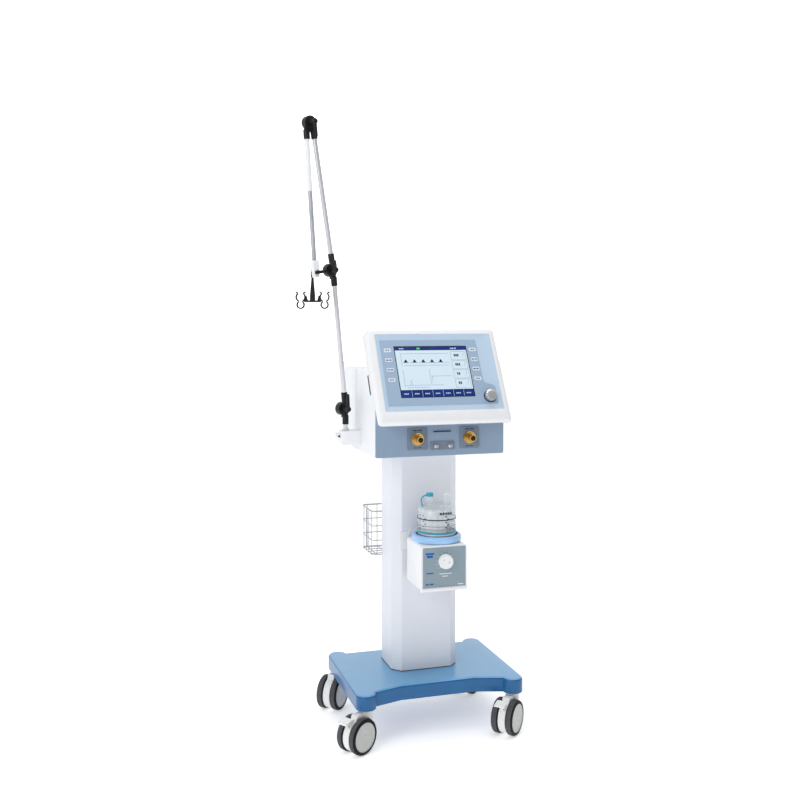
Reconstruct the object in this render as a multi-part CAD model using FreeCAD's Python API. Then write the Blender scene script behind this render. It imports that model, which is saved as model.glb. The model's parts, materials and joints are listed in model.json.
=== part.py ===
"""Mechanical ventilator on a trolley, with humidifier, hose arm and basket.

All lengths are millimetres.  +Z is up, the display faces -Y and +X is to the right.
The shapes are built about the middle of the caster rectangle; frame_shift then moves
them so that the frame's origin is on the floor under the middle of the whole object.
"""
import FreeCAD, Part
import math
import os

os.makedirs("parts", exist_ok=True)
V = FreeCAD.Vector
X = V(1, 0, 0)
Y = V(0, 1, 0)
Z = V(0, 0, 1)

frame_shift = V(78, 14.5, -5.5)
gap = 0.3                      # air between pieces that move past each other
running = 0.05                 # radial clearance of a shaft in its bore

# casters
wheel_radius = 57.0
axle_height = 62.5
wheel_width = 25.0
wheel_spacing = 50.0
wheel_bore = 6.0
trail = 42.0
caster_x = 253.0
caster_y = 189.5
kingpin_radius = 7.0
casters = {"fl": (-1, -1, 33.0), "fr": (1, -1, 44.0), "bl": (-1, 1, 50.0), "br": (1, 1, 45.0)}
pedal_pivot_x = -44.0          # from the axle, on the trailing side
pedal_pivot_z = 110.0

# base shell
base_bottom = 134.7
base_top = 183.6
boss_radius = 33.5
base_front = -163.0
base_back = 195.0
shell_wall = 4.0
stem_radius = 17.0

# column
column_half_width = 115.0
column_front = -42.0
column_back = 108.0
column_chamfer = 27.6
column_top = 931.0

# console
console_half_width = 219.0
console_front = -186.0
console_back = 220.0
console_top = 1212.0
panel_top = 1100.0
wall = 3.0

# display housing: its face runs from (face_top_y, face_top_z) down at face_lean from vertical
face_top_y = -85.0
face_top_z = 1342.0
face_lean = 29.4
face_height = 340.0
display_half_width = 225.0
field_depth = 1.0
lcd = (-140.0, 112.0, 66.0, 252.0)
key_size = (24.0, 14.0)
key_columns = (-162.0, 132.0)
key_rows = (81.0, 117.0, 152.0, 188.0)
encoder = (162.0, 253.0)
encoder_radius = 20.0
shaft_radius = 5.0

# ports
gas_ports = ((-80.0, 988.0), (98.0, 988.0))
port_radius = 11.0
port_reach = 34.0
nipples = ((-17.0, 964.0), (31.0, 964.0))

# hose arm, in its own upright plane through the post
post = V(-267, 15, 0)
arm_turn = 20.0
rod_radius = 8.0
rod_offset = 12.0
disc_radius = 22.0
disc_thick = 11.0
socket_radius = 10.5
socket_start = 23.0
socket_end = 53.0
bolt_radius = 4.0
lower_pivot_z = 1074.0
lower_lean = 6.0
upper_lean = 9.5
drop_lean = 183.9
lower_length = 462.0
upper_length = 479.5
tube_end = 219.0
neck_middle = 330.0
neck_end = 456.0
neck_radius = 7.5
knuckle_radius = 5.9
knuckle_gap = 6.2              # from the bend's axis to the end of each half of the neck

# tube hook
hook_turn = -37.0              # about the neck, from the arm's plane
hook_spacing = 78.0
hook_depth = 14.0
hook_wall = 4.6
large_hose = 12.0
small_hose = 9.0
large_hose_z = -75.0           # from the hook's pin
small_hose_z = -100.0

# humidifier
humid = (-75.0, 80.0, -215.0, -62.0, 497.0, 645.0)
chamber = V(5, -132, 0)
chamber_radius = 64.0
plate_top = 652.0
chamber_ports = (-24.0, 34.0)
ring_outer = 82.0
ring_inner = 68.0
dial = (5.0, 594.0)

# basket
basket = (-147.0, 147.0, 116.0, 250.0, 548.0, 700.0)
rim_wire = 2.5
fill_wire = 1.6


def box(x0, x1, y0, y1, z0, z1):
    return Part.makeBox(x1 - x0, y1 - y0, z1 - z0, V(x0, y0, z0))


def rod(radius, start, end):
    return Part.makeCylinder(radius, (end - start).Length, start, end - start)


def prism(points, depth):
    face = Part.Face(Part.makePolygon(points + [points[0]]))
    return face.extrude(depth)


def turned(profile, centre, axis):
    """Solid of revolution from (radius, height) points."""
    wire = Part.makePolygon([V(r, 0, h) for r, h in profile + [profile[0]]])
    solid = Part.Face(wire).revolve(V(0, 0, 0), Z, 360)
    solid.Placement = FreeCAD.Placement(centre, FreeCAD.Rotation(Z, axis))
    return solid


def fused(shapes):
    return shapes[0].multiFuse(shapes[1:]).removeSplitter()


def edges_where(shape, test):
    return [edge for edge in shape.Edges if test(edge.BoundBox)]


def rounded_box(x0, x1, y0, y1, z0, z1, radius, axis):
    """Box whose four edges along one axis (0, 1 or 2) are rounded."""
    shape = box(x0, x1, y0, y1, z0, z1)

    def along(b):
        return (b.XLength, b.YLength, b.ZLength)[axis] > 0.5 * (x1 - x0, y1 - y0, z1 - z0)[axis]

    return shape.makeFillet(radius, edges_where(shape, along))


def placed(shape, base, axis, degrees):
    out = shape.copy()
    out.Placement = FreeCAD.Placement(base, FreeCAD.Rotation(axis, degrees)).multiply(out.Placement)
    return out


# ---- trolley -------------------------------------------------------------------------------

def boss_centres():
    return [V(sx * caster_x, sy * caster_y, 0) for sx in (-1, 1) for sy in (-1, 1)]


def base_outline():
    """Corner bosses joined by straight sides, with the front drawn in between them."""
    side = caster_x + boss_radius
    meet = base_back - caster_y
    back_x = caster_x - math.sqrt(boss_radius ** 2 - meet ** 2)
    front_x = caster_x - boss_radius
    bl = V(-side, caster_y, 0)
    br = V(side, caster_y, 0)
    fl = V(-side, -caster_y, 0)
    fr = V(side, -caster_y, 0)
    top_l = V(-caster_x, caster_y + boss_radius, 0)
    top_r = V(caster_x, caster_y + boss_radius, 0)
    low_l = V(-caster_x, -caster_y - boss_radius, 0)
    low_r = V(caster_x, -caster_y - boss_radius, 0)
    back_l = V(-back_x, base_back, 0)
    back_r = V(back_x, base_back, 0)
    knee_l = V(-front_x, -caster_y, 0)
    knee_r = V(front_x, -caster_y, 0)
    front_l = V(-127, base_front, 0)
    front_r = V(127, base_front, 0)
    return Part.Wire([
        Part.Arc(bl, top_l, back_l).toShape(),
        Part.LineSegment(back_l, back_r).toShape(),
        Part.Arc(back_r, top_r, br).toShape(),
        Part.LineSegment(br, fr).toShape(),
        Part.Arc(fr, low_r, knee_r).toShape(),
        Part.LineSegment(knee_r, front_r).toShape(),
        Part.LineSegment(front_r, front_l).toShape(),
        Part.LineSegment(front_l, knee_l).toShape(),
        Part.Arc(knee_l, low_l, fl).toShape(),
        Part.LineSegment(fl, bl).toShape(),
    ])


def base_shell():
    outline = Part.Face(base_outline())
    outline.translate(V(0, 0, base_bottom))
    body = outline.extrude(V(0, 0, base_top - base_bottom))
    body = body.makeFillet(9, edges_where(body, lambda b: b.ZMin > base_top - 0.01))
    inner = outline.makeOffset2D(-shell_wall).extrude(V(0, 0, base_top - base_bottom - shell_wall))
    shell = body.cut(inner)
    ribs = [box(x - 2, x + 2, base_front + 3, base_back - 3, 150, base_top - 3) for x in (-110, 0, 110)]
    rims = []
    bores = []
    for centre in boss_centres():
        rims.append(Part.makeCylinder(24, base_top - base_bottom - 3, centre + V(0, 0, base_bottom)))
        bores.append(Part.makeCylinder(stem_radius, 40, centre + V(0, 0, base_bottom - 1)))
    return fused([shell] + ribs + rims).cut(Part.makeCompound(bores))


def caster_stems():
    """Fixed bearing sleeves in the bosses; the forks turn on pins inside them."""
    sleeves = []
    for centre in boss_centres():
        sleeve = Part.makeCylinder(stem_radius, 39, centre + V(0, 0, base_bottom))
        bore = Part.makeCylinder(kingpin_radius + running, 36, centre + V(0, 0, base_bottom - 1))
        sleeves.append(sleeve.cut(bore))
    return Part.makeCompound(sleeves)


def in_caster(shape, name):
    """From a caster's own frame (axle along Y, stem axis at +X) to its place on the trolley."""
    sx, sy, turn = casters[name]
    shape = shape.copy()
    shape.translate(V(-trail, 0, 0))
    return placed(shape, V(sx * caster_x, sy * caster_y, 0), Z, turn)


def caster_fork(name):
    """Fender plate between the wheels, collar and kingpin above, axle through it."""
    half = wheel_spacing / 2 - wheel_width / 2 - gap
    axle_z = axle_height
    disc = rod(wheel_radius - 5, V(0, -half, axle_z), V(0, half, axle_z))
    neck = prism([V(-30, -half, 85), V(20, -half, 45), V(60, -half, 96), V(62, -half, 127),
                  V(-10, -half, 127)], V(0, 2 * half, 0))
    collar = Part.makeCylinder(22, 38.5, V(trail, 0, 95))
    for side in (-1, 1):
        wheel_space = rod(wheel_radius + 1.5, V(0, side * half, axle_z), V(0, side * 40, axle_z))
        collar = collar.cut(wheel_space)
    pin = Part.makeCylinder(kingpin_radius, 160 - 133, V(trail, 0, 133))
    axle = rod(wheel_bore, V(0, -33, axle_z), V(0, 33, axle_z))
    parts = [disc, neck, collar, pin, axle]
    if name[0] == "f":
        tab = prism([V(-20, -5, 96), V(-36, -5, 88), V(-50, -5, 104), V(-50, -5, 115), V(-40, -5, 117),
                     V(-8, -5, 117)], V(0, 10, 0))
        parts.append(tab)
        parts.append(rod(2.5, V(pedal_pivot_x, -11, pedal_pivot_z), V(pedal_pivot_x, 11, pedal_pivot_z)))
    return in_caster(fused(parts), name)


def caster_pedal(name):
    """Brake pedal: two ears on the pin and a tread plate behind them."""
    x = pedal_pivot_x
    z = pedal_pivot_z
    ears = []
    for side in (-1, 1):
        low = min(side * 5.3, side * 10.5)
        ear = rod(6, V(x, low, z), V(x, low + 5.2, z))
        arm = prism([V(x + 4, low, z + 4), V(x - 4, low, z - 4), V(x - 13, low, z + 2),
                     V(x - 15, low, z + 10), V(x - 4, low, z + 14)], V(0, 5.2, 0))
        ears += [ear, arm]
    tread = prism([V(x + 2, -18, z + 18.5), V(x + 2, -18, z + 14), V(x - 26, -18, z + 4.7),
                   V(x - 28, -18, z + 9.2)], V(0, 36, 0))
    pedal = fused(ears + [tread])
    return in_caster(pedal.cut(rod(2.5 + running, V(x, -20, z), V(x, 20, z))), name)


def caster_wheel(name, side):
    """One wheel of the pair: dished hub with a blind bore and a tread with rounded shoulders."""
    r = wheel_radius
    profile = [(wheel_bore + running, 0), (14, 0), (14, 4), (r - 18, 4), (r - 16, 0), (r - 6, 0)]
    profile += [(r - 3.5, 2), (r - 0.8, 6), (r, wheel_width / 2)]
    profile += [(r - 0.8, wheel_width - 6), (r - 3.5, wheel_width - 2), (r - 6, wheel_width)]
    profile += [(r - 11, wheel_width), (r - 13, wheel_width - 2), (28, wheel_width - 1), (0, wheel_width)]
    profile += [(0, 21.5), (wheel_bore + running, 21.5)]
    inner = wheel_spacing / 2 - wheel_width / 2
    wheel = turned(profile, V(0, side * inner, axle_height), V(0, side, 0))
    return in_caster(wheel, name)


def column():
    w = column_half_width
    f = column_front
    b = column_back
    c = column_chamfer

    def outline(t):
        return [V(-w + t, b - t, 0), V(w - t, b - t, 0), V(w - t, f + c, 0), V(w - c, f + t, 0),
                V(-w + c, f + t, 0), V(-w + t, f + c, 0)]

    outer = prism(outline(0), V(0, 0, column_top - base_top))
    inner = prism(outline(wall), V(0, 0, column_top - base_top))
    foot = prism(outline(-1.2), V(0, 0, 3)).cut(prism(outline(wall), V(0, 0, 3)))
    shape = outer.cut(inner).fuse(foot)
    shape.translate(V(0, 0, base_top))
    return shape.removeSplitter()


def wire_ring(z, radius, corner):
    """Closed wire round the basket with rounded corners."""
    x0, x1, y0, y1 = basket[:4]
    flat = Part.Wire(Part.makePolygon([V(x0, y0, z), V(x1, y0, z), V(x1, y1, z), V(x0, y1, z), V(x0, y0, z)]))
    path = Part.Face(flat).makeOffset2D(-corner).makeOffset2D(corner).OuterWire
    front = [edge for edge in path.Edges if abs(edge.BoundBox.YMax - y0) < 0.01][0]
    start = front.Vertexes[0].Point
    profile = Part.Wire(Part.makeCircle(radius, start, X))
    return path.makePipeShell([profile], True, False)


def basket_wires():
    """Wire basket: rim, three lower rings, uprights, floor, and the plate that hangs it."""
    x0, x1, y0, y1, z0, z1 = basket
    wires = [wire_ring(z1, rim_wire, 14)]
    for z in (z0, z0 + 50, z0 + 101):
        wires.append(wire_ring(z, fill_wire, 14))
    low = z0 - 0.7
    inset = 1.4
    for i in range(8):
        x = x0 + 18 + (x1 - x0 - 36) * i / 7
        for y in (y0 + inset, y1 - inset):
            wires.append(rod(fill_wire - 0.2, V(x, y, low), V(x, y, z1)))
        wires.append(rod(fill_wire - 0.1, V(x, y0 + 0.6, low), V(x, y1 - 0.6, low)))
    for i in range(4):
        y = y0 + 18 + (y1 - y0 - 36) * i / 3
        for x in (x0 + inset, x1 - inset):
            wires.append(rod(fill_wire - 0.2, V(x, y, low), V(x, y, z1)))
        wires.append(rod(fill_wire - 0.1, V(x0 + 0.6, y, low + 1.5), V(x1 - 0.6, y, low + 1.5)))
    wires.append(box(-90, 90, column_back, y0 + 0.8, z1 - 65, z1 - 35))
    return fused(wires)


# ---- console -------------------------------------------------------------------------------

def wedge_back_y(z):
    """The sloping plane between display housing and rear case."""
    return -242 + (z - 1036) * 0.8139


def case_outline(t):
    """Side view of the rear case, drawn in by t."""
    f = console_front + wall + t
    knee = 1036 + (f + 242) / 0.8139
    top = console_top - t
    return [V(0, f, column_top + t), V(0, f, knee - t), V(0, wedge_back_y(top) + 1.6 * t, top),
            V(0, 200 - t, top - 8), V(0, console_back - t, top - 26), V(0, console_back - t, 985 + t),
            V(0, 112, column_top + t)]


def console_case():
    """Hollow rear case with a side groove, card slot, vents and openings for its sockets."""
    w = console_half_width
    outer = prism(case_outline(0), V(2 * w, 0, 0))
    outer.translate(V(-w, 0, 0))
    inner = prism(case_outline(wall), V(2 * w - 2 * wall, 0, 0))
    inner.translate(V(-w + wall, 0, 0))
    cuts = [inner]
    for side in (-1, 1):
        cuts.append(box(side * w - 1.2, side * w + 1.2, 58, 60, 1003, 1202))
    slot = box(-w - 1, -w + 4, -2, 2, -34, 34)
    cuts.append(placed(slot, V(0, -113, 1160), X, -face_lean))
    for i in range(9):
        z = 1050 + 12 * i
        cuts.append(box(40, 170, console_back - 5, console_back + 1, z, z + 5))
    cuts.append(box(-150, -102, console_back - 5, console_back + 1, 1020, 1048))
    cuts.append(box(-92, -70, console_back - 5, console_back + 1, 1020, 1048))
    cuts.append(rod(9, V(-60, 215, 1150), V(-60, 225, 1150)))
    cuts.append(box(-60, 60, -20, 90, column_top - 1, column_top + 5))
    return outer.cut(Part.makeCompound(cuts))


def connection_panel():
    """Front plate below the display, with raised surrounds for the patient ports."""
    w = console_half_width
    f = console_front
    plate = rounded_box(-w, w, f, f + wall, column_top, panel_top, 6, 1)
    surrounds = [rounded_box(x - 34, x + 34, f - 3, f, z - 35, z + 35, 5, 1) for x, z in gas_ports]
    surrounds.append(rounded_box(-35, 47, f - 3, f, 951, 978, 4, 1))
    holes = [rod(port_radius, V(x, f - 4, z), V(x, f + 5, z)) for x, z in gas_ports]
    holes += [rod(4, V(x, f - 4, z), V(x, f + 5, z)) for x, z in nipples]
    return fused([plate] + surrounds).cut(Part.makeCompound(holes))


def gas_port(x, z):
    """22 mm male cone connector with a round flange and a hexagon."""
    f = console_front - 3
    flange = rod(20, V(x, f, z), V(x, f - 4, z))
    corners = [V(x + 16.5 * math.cos(math.radians(60 * i)), f - 4, z + 16.5 * math.sin(math.radians(60 * i)))
               for i in range(6)]
    nut = prism(corners, V(0, -7, 0))
    tube = rod(port_radius, V(x, f + 6, z), V(x, f - port_reach, z))
    bore = rod(8.5, V(x, f + 7, z), V(x, f - port_reach - 1, z))
    return fused([flange, nut, tube]).cut(bore)


def nipple(x, z):
    f = console_front - 3
    body = turned([(1.6, 0), (7, 0), (7, 5), (4, 6), (4, 11), (4.8, 12), (3.4, 17), (1.6, 17)],
                  V(x, f, z), V(0, -1, 0))
    stub = rod(4, V(x, f + 5.5, z), V(x, f, z)).cut(rod(1.6, V(x, f + 6, z), V(x, f - 1, z)))
    return body.fuse(stub).removeSplitter()


def in_face(shape):
    """From face coordinates (x, up the face, out of the face) to the tilted display."""
    return placed(shape, V(0, face_top_y, face_top_z), X, 90 - face_lean)


def display_housing():
    """Wedge-shaped housing with a drawn-back lip, windows and an inner hollow."""
    w = display_half_width
    outline = [V(0, 0, 0), V(0, -face_height, 0), V(0, -face_height - 8, -15), V(0, -310, -18.5),
               V(0, -10, -68), V(0, 9, -52), V(0, 8, -14)]
    outer = prism(outline, V(2 * w, 0, 0))
    outer.translate(V(-w, 0, 0))
    outer = outer.makeFillet(9, edges_where(outer, lambda b: b.XLength < 1 and b.ZMin > -16 and b.YLength > 20))
    hollow = prism([V(0, 0, -5), V(0, -300, -5), V(0, -300, -15), V(0, -10, -62), V(0, 3, -50)],
                   V(2 * w - 8, 0, 0))
    hollow.translate(V(-w + 4, 0, 0))
    field = rounded_box(-198, 205, -299, -21, -field_depth, 2, 3, 2)
    cuts = [hollow, field, box(lcd[0], lcd[1], -lcd[3], -lcd[2], -6, 1)]
    for x in key_columns:
        for s in key_rows:
            cuts.append(key_block(x, s, gap, -6, 1))
    cuts.append(Part.makeCylinder(shaft_radius + running, 8, V(encoder[0], -encoder[1], -7)))
    return in_face(outer.cut(Part.makeCompound(cuts)))


def key_block(x, s, grow, low, high):
    half_x = key_size[0] / 2 + grow
    half_s = key_size[1] / 2 + grow
    return rounded_box(x - half_x, x + half_x, -s - half_s, -s + half_s, low, high, 3, 2)


def keypad_overlay():
    """Thin sheet in the recess: stepped right edge, cut out for the display and keys."""
    left, right, top, bottom = -185.0, 149.0, -44.0, -279.0
    wide = 187.0
    step = Part.BezierCurve()
    step.setPoles([V(right, -191, 0), V(right, -212, 0), V(wide, -203, 0), V(wide, -224, 0)])
    straight = Part.makePolygon([V(wide, -224, 0), V(wide, bottom, 0), V(left, bottom, 0),
                                 V(left, top, 0), V(right, top, 0), V(right, -191, 0)])
    sheet = Part.Face(Part.Wire([step.toShape()] + straight.Edges)).extrude(V(0, 0, 0.8))
    sheet.translate(V(0, 0, -field_depth))
    cuts = [box(lcd[0], lcd[1], -lcd[3], -lcd[2], -2, 1)]
    for x in key_columns:
        for s in key_rows:
            cuts.append(key_block(x, s, gap, -2, 1))
    cuts.append(Part.makeCylinder(8, 4, V(encoder[0], -encoder[1], -2)))
    return in_face(sheet.cut(Part.makeCompound(cuts)))


def screen():
    return in_face(box(lcd[0], lcd[1], -lcd[3], -lcd[2], -5, -0.5))


def key(x, s):
    return in_face(key_block(x, s, 0, -6, 0.9))


def encoder_shaft():
    x, s = encoder
    shaft = Part.makeCylinder(shaft_radius, 20, V(x, -s, -9))
    return in_face(shaft.fuse(Part.makeCylinder(8, 2, V(x, -s, -9))))


def encoder_knob():
    x, s = encoder
    profile = [(shaft_radius + running, 1.4), (encoder_radius, 1.4), (encoder_radius, 4),
               (encoder_radius - 1, 15), (encoder_radius - 3, 17), (0, 17.5), (0, 11.3),
               (shaft_radius + running, 11.3)]
    return in_face(turned(profile, V(x, -s, 0), Z))


def power_inlet():
    """Mains inlet with three flat pins in a recess open to the back."""
    y = console_back
    body = box(-150, -102, y - 22, y, 1020, 1048)
    flange = rounded_box(-153, -99, y, y + 2, 1017, 1051, 3, 1)
    recess = box(-144, -108, y - 18, y + 3, 1025, 1043)
    pins = [box(x - 1, x + 1, y - 18, y - 6, z - 2.5, z + 2.5) for x, z in
            ((-133, 1031), (-126, 1036), (-119, 1031))]
    return fused([body, flange]).cut(recess).multiFuse(pins).removeSplitter()


def mains_switch():
    """Rocker standing 2 mm out of the back wall, on a pin-like centre line."""
    y = console_back
    return prism([V(-92 + gap, y + 2.5, 1021), V(-92 + gap, y - 3, 1021), V(-92 + gap, y - 3, 1047),
                  V(-92 + gap, y + 0.5, 1047), V(-92 + gap, y, 1034)], V(22 - 2 * gap, 0, 0))


def oxygen_inlet():
    """Threaded high-pressure gas inlet."""
    y = console_back
    body = turned([(3, 0), (13, 0), (13, 5), (9.5, 5), (9.5, 22), (7, 23), (3, 23)], V(-60, y, 1150), Y)
    stub = rod(9, V(-60, y - 8, 1150), V(-60, y, 1150)).cut(rod(3, V(-60, y - 9, 1150), V(-60, y + 1, 1150)))
    return body.fuse(stub).removeSplitter()


# ---- hose arm ------------------------------------------------------------------------------

def in_arm(shape):
    """From the arm's plane (x to the right in the plane, y backwards) to the trolley."""
    return placed(shape, post, Z, arm_turn)


def pivots():
    """The three joint centres in the arm's plane."""
    a = math.radians(lower_lean)
    b = math.radians(upper_lean)
    low = V(-rod_offset, 0, lower_pivot_z)
    mid = low + V(-math.sin(a), 0, math.cos(a)) * lower_length
    top = mid + V(-math.sin(b), 0, math.cos(b)) * upper_length
    return low, mid, top


def in_link(shape, pivot, lean):
    """From a link's own frame (pivot at the origin, link along +Z, rod at +X) to the trolley."""
    return in_arm(placed(shape, pivot, Y, -lean))


def half_joint(side, up):
    """Half disc on one side of the joint plane with a socket for the rod beside it."""
    inner = side * 0.15
    outer = side * disc_thick
    low = min(inner, outer)
    high = max(inner, outer)
    disc = rod(disc_radius, V(0, low, 0), V(0, high, 0))
    edge = disc_radius + 8
    neck = box(2, disc_radius, low, high, 0, edge)
    socket = rod(socket_radius, V(rod_offset, 0, socket_start), V(rod_offset, 0, socket_end))
    bore = rod(rod_radius, V(rod_offset, 0, socket_start + 4), V(rod_offset, 0, socket_end + 1))
    shape = fused([disc, neck, socket]).cut(bore)
    if side > 0:
        stud = rod(bolt_radius, V(0, disc_thick, 0), V(0, -36, 0))
        shape = shape.fuse(stud).removeSplitter()
    else:
        shape = shape.cut(rod(bolt_radius + running, V(0, -20, 0), V(0, 20, 0)))
    if not up:
        shape = shape.mirror(V(0, 0, 0), Z)
    return shape


def arm_clamp():
    """Block on the left wall that holds the post in a bore, with a screw boss beyond it."""
    w = console_half_width
    block = rounded_box(-286, -w, -10, 40, 954, 1000, 4, 1)
    boss = rod(9, V(-303, 15, 984), V(-285, 15, 984))
    body = block.fuse(boss)
    return body.cut(rod(rod_radius + running, V(post.x, post.y, 953), V(post.x, post.y, 1001)))


def arm_post():
    """Lower half joint with the post in its socket; the post turns in the clamp."""
    low = pivots()[0]
    half = half_joint(1, False)
    pin = rod(rod_radius, V(rod_offset, 0, -socket_start - 4), V(rod_offset, 0, 956 - low.z))
    return in_arm(placed(half.fuse(pin).removeSplitter(), low, Y, 0))


def arm_link_joints(pivot, lean, length):
    """The two half joints at the ends of one link."""
    lower = half_joint(-1, True)
    upper = half_joint(1, False)
    upper.translate(V(0, 0, length))
    return in_link(Part.makeCompound([lower, upper]), pivot, lean)


def arm_rod(pivot, lean, length):
    start = V(rod_offset, 0, socket_start + 4)
    end = V(rod_offset, 0, length - socket_start - 4)
    return in_link(rod(rod_radius, start, end), pivot, lean)


def arm_lever(pivot, lean):
    """Clamping lever: hub on the bolt and a tapered handle at its outer end."""
    y0 = -disc_thick - gap
    hub = turned([(bolt_radius + running, 0), (11, 0), (9, 10), (9, 27), (7, 30), (0, 30), (0, 26),
                  (bolt_radius + running, 26)], V(0, y0, 0), V(0, -1, 0))
    handle = Part.makeCone(7, 5, 40, V(0, y0 - 21, 6), Z)
    tip = Part.makeSphere(5, V(0, y0 - 21, 46))
    core = rod(8.5, V(0, y0 - 12, 0), V(0, y0 - 26, 0))
    handle = handle.fuse(tip).cut(core)
    return in_link(hub.fuse(handle).removeSplitter(), pivot, lean)


def arm_drop_joint():
    top = pivots()[2]
    return in_link(half_joint(-1, True), top, drop_lean)


def gooseneck_upper():
    """White tube from the top joint and the first half of the bendable neck."""
    top = pivots()[2]
    x = rod_offset
    tube = rod(rod_radius, V(x, 0, socket_start + 4), V(x, 0, tube_end))
    neck = rod(neck_radius, V(x, 0, tube_end), V(x, 0, neck_middle - knuckle_gap))
    stem = rod(knuckle_radius - 2, V(x, 0, neck_middle - knuckle_gap - 1), V(x, 0, neck_middle))
    knuckle = rod(knuckle_radius, V(x, -4.4, neck_middle), V(x, 4.4, neck_middle))
    return in_link(fused([tube, neck, stem, knuckle]), top, drop_lean)


def gooseneck_lower():
    top = pivots()[2]
    start = neck_middle + knuckle_gap
    return in_link(rod(neck_radius, V(rod_offset, 0, start), V(rod_offset, 0, neck_end)), top, drop_lean)


def hook_pivot():
    """Centre of the hook's pin, in the arm's plane."""
    return V(-128, 0, 1519)


def neck_sleeve():
    """White block on the end of the neck, forked below for the hook's tongue."""
    top = pivots()[2]
    block = rounded_box(rod_offset - 13, rod_offset + 13, -11, 11, neck_end - 13, neck_end + 43, 5, 2)
    bore = rod(neck_radius, V(rod_offset, 0, 0), V(rod_offset, 0, neck_end))
    block = in_link(block.cut(bore), top, drop_lean)
    centre = hook_pivot()
    slot = box(-20, 20, -4, 4, -30, 14)
    pin = rod(3, V(0, -10, 0), V(0, 10, 0))
    block = block.cut(in_arm(placed(slot, centre, Z, hook_turn)))
    return block.fuse(in_arm(placed(pin, centre, Z, hook_turn))).removeSplitter()


def hose_cradle(x):
    """Figure-eight pocket: small hose below, larger one above, lips curled outwards at the top."""
    depth = V(0, hook_depth, 0)
    small = V(x, 0, small_hose_z)
    large = V(x, 0, large_hose_z)
    lip_z = large_hose_z + 11.5
    rings = [rod(small_hose + hook_wall, small, small + depth), rod(large_hose + hook_wall, large, large + depth)]
    openings = [rod(small_hose, small, small + depth), rod(large_hose, large, large + depth),
                box(x - 5.6, x + 5.6, 0, hook_depth, small_hose_z + 5, large_hose_z - 5),
                box(x - 8.6, x + 8.6, 0, hook_depth, large_hose_z + 5, large_hose_z + 20)]
    pocket = fused(rings).cut(Part.makeCompound(openings))
    lips = []
    for side in (-1, 1):
        centre = V(x + side * 15.7, 0, lip_z)
        curl = rod(7.4, centre, centre + depth).cut(rod(3.0, centre, centre + depth))
        outer = box(min(0, side * 30), max(0, side * 30), 0, hook_depth, -30, 0)
        outer.translate(V(x + side * 16.6, 0, lip_z + 10))
        below = box(x - 30, x + 30, 0, hook_depth, lip_z - 30, lip_z - 2)
        lips.append(curl.cut(outer).cut(below))
    return fused([pocket] + lips)


def tube_hook():
    """Tongue on the pin, tapered stem, crossbar with gussets and two hose cradles."""
    half = hook_depth / 2
    depth = V(0, hook_depth, 0)
    inner_x = hook_spacing / 2 - 12
    stem = prism([V(-4, -half, -20), V(4, -half, -20), V(8.4, -half, -72), V(8.4, -half, -86),
                  V(-8.4, -half, -86), V(-8.4, -half, -72)], depth)
    parts = [rod(6.5, V(0, -3.6, 0), V(0, 3.6, 0)), box(-4, 4, -3.6, 3.6, -24, 0), stem]
    parts.append(box(-inner_x, inner_x, -half, half, -91.5, -85.5))
    for side in (-1, 1):
        x = side * hook_spacing / 2
        parts.append(prism([V(x - side * 12, -half, -87), V(x - side * 24, -half, -87),
                            V(x - side * 19, -half, -70), V(x - side * 14, -half, -70)], depth))
        cradle = hose_cradle(x)
        cradle.translate(V(0, -half, 0))
        parts.append(cradle)
    shape = fused(parts).cut(rod(3 + running, V(0, -20, 0), V(0, 20, 0)))
    for x in (-hook_spacing / 2, hook_spacing / 2):
        shape = shape.cut(rod(large_hose, V(x, -half, large_hose_z), V(x, half, large_hose_z)))
    return in_arm(placed(shape, hook_pivot(), Z, hook_turn))


def parking_clip():
    """Arm from the middle joint to a cradle that is open to the left."""
    mid = pivots()[1]
    strip = box(-43, -15, -disc_thick - 4, -disc_thick, -5, 5)
    strip = strip.cut(rod(12.5, V(0, -30, 0), V(0, 0, 0)))
    back = box(-43, -39, -disc_thick - 4, 15.5, -5, 5)
    arms = [box(-66, -39, -15.5, -11.8, -5, 5), box(-66, -39, 11.8, 15.5, -5, 5)]
    return in_link(fused([strip, back] + arms), mid, upper_lean)


# ---- humidifier ----------------------------------------------------------------------------

def humidifier_bracket():
    """Plate on the column with two side cheeks that carry the housing."""
    plate = box(-62, 66, column_front - 5, column_front, 500, 668)
    cheeks = [box(x, x + 5, humid[3], column_front, 505, 630) for x in (-60, 59)]
    tab = box(-95, -60, column_front - 4, column_front, 600, 660)
    return fused([plate, tab] + cheeks)


def humidifier_housing():
    x0, x1, y0, y1, z0, z1 = humid
    body = rounded_box(x0, x1, y0, y1, z0, z1, 10, 1)
    hollow = rounded_box(x0 + 3, x1 - 3, y0 + 3, y1 - 3, z0 + 3, z1 - 3, 7, 1)
    deck = Part.makeCylinder(ring_outer - 4, 3, V(chamber.x, chamber.y, z1 - 2))
    seat = Part.makeCylinder(ring_outer - 8, 5, V(chamber.x, chamber.y, z1 - 1))
    shaft = rod(4 + running, V(dial[0], y0 - 5, dial[1]), V(dial[0], y0 + 14, dial[1]))
    lip = rounded_box(x0, x1, y0 - 7, y0 + 12, z0, z0 + 13, 6, 0)
    shell = fused([body.cut(hollow), deck, lip.cut(hollow)])
    return shell.cut(seat).cut(shaft)


def humidifier_panel():
    x0, x1, y0, y1, z0, z1 = humid
    panel = rounded_box(x0 + 5, x1 - 5, y0 - 2, y0, z0 + 14, z1 - 6, 3, 1)
    return panel.cut(rod(4 + running, V(dial[0], y0 - 5, dial[1]), V(dial[0], y0 + 2, dial[1])))


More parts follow.
